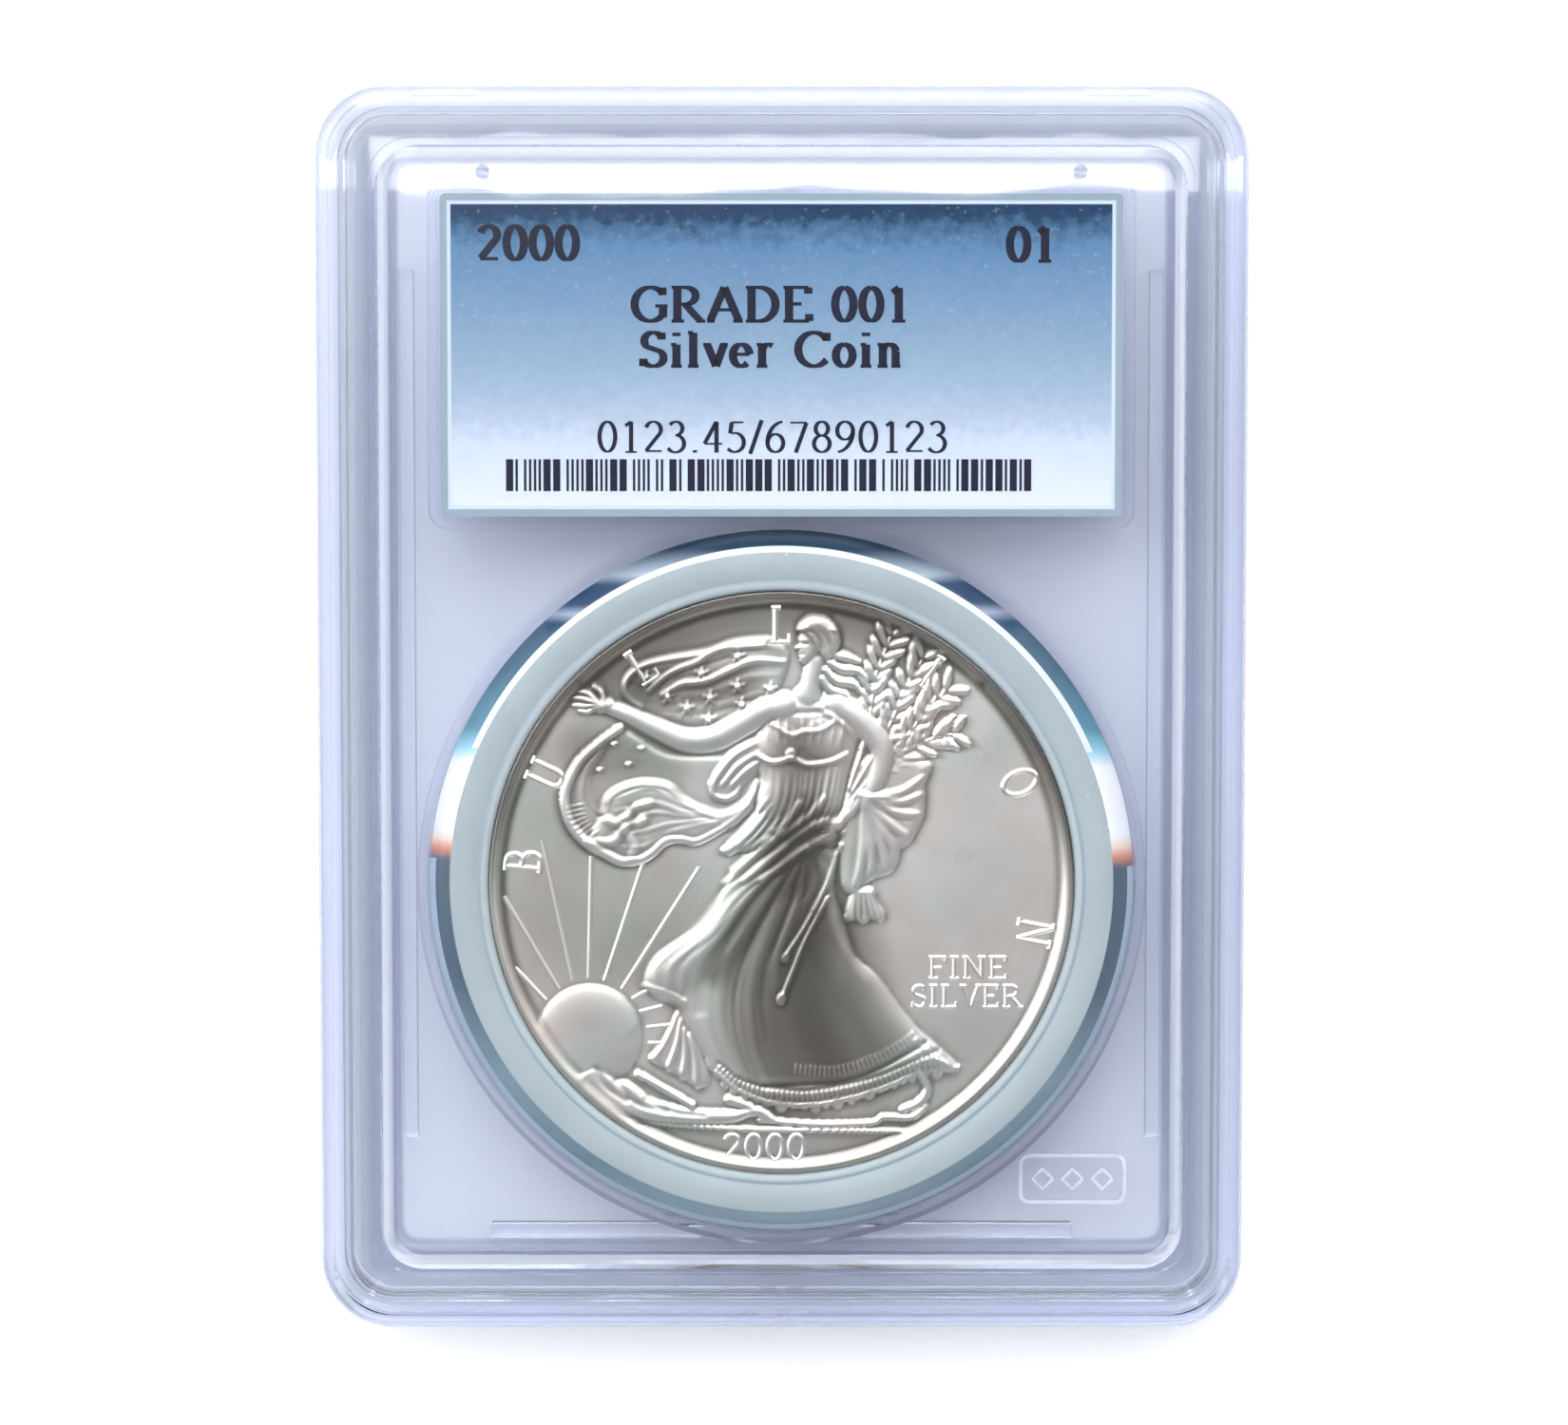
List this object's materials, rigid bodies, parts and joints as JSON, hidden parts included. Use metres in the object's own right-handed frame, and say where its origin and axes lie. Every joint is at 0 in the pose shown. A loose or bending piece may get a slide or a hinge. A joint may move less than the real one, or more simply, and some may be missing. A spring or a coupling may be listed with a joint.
{
  "type": "graded coin slab",
  "caption": "Sealed clear plastic coin holder: two welded shells round a silver coin in a clear ring, with a printed card in a pocket above it.",
  "frame": {"origin": "middle of the case's outline, on the plane of the rails that it rests on", "axes": "+X across the width, +Y towards the card end, +Z out of the front window"},
  "size_m": [0.064, 0.086, 0.008],
  "materials": {
    "clear_case": "clear, polished, faint lavender tint",
    "clear_ring": "clear, faint grey-green tint",
    "silver": "satin struck silver",
    "printed_card": "semi-gloss print, blue fading to white",
    "foil": "embossed diffraction foil"
  },
  "bodies": {
    "case": {"rear_shell": "clear_case", "front_shell": "clear_case", "coin_ring": "clear_ring", "label_card": "printed_card", "security_foil": "foil"},
    "coin": {"coin": "silver"}
  },
  "joints": [
    {"name": "coin_turn", "type": "hinge", "parent": "case", "child": "coin", "pos_m": [0, -0.0121, 0.004], "axis": [0, 0, 1], "continuous": true}
  ]
}
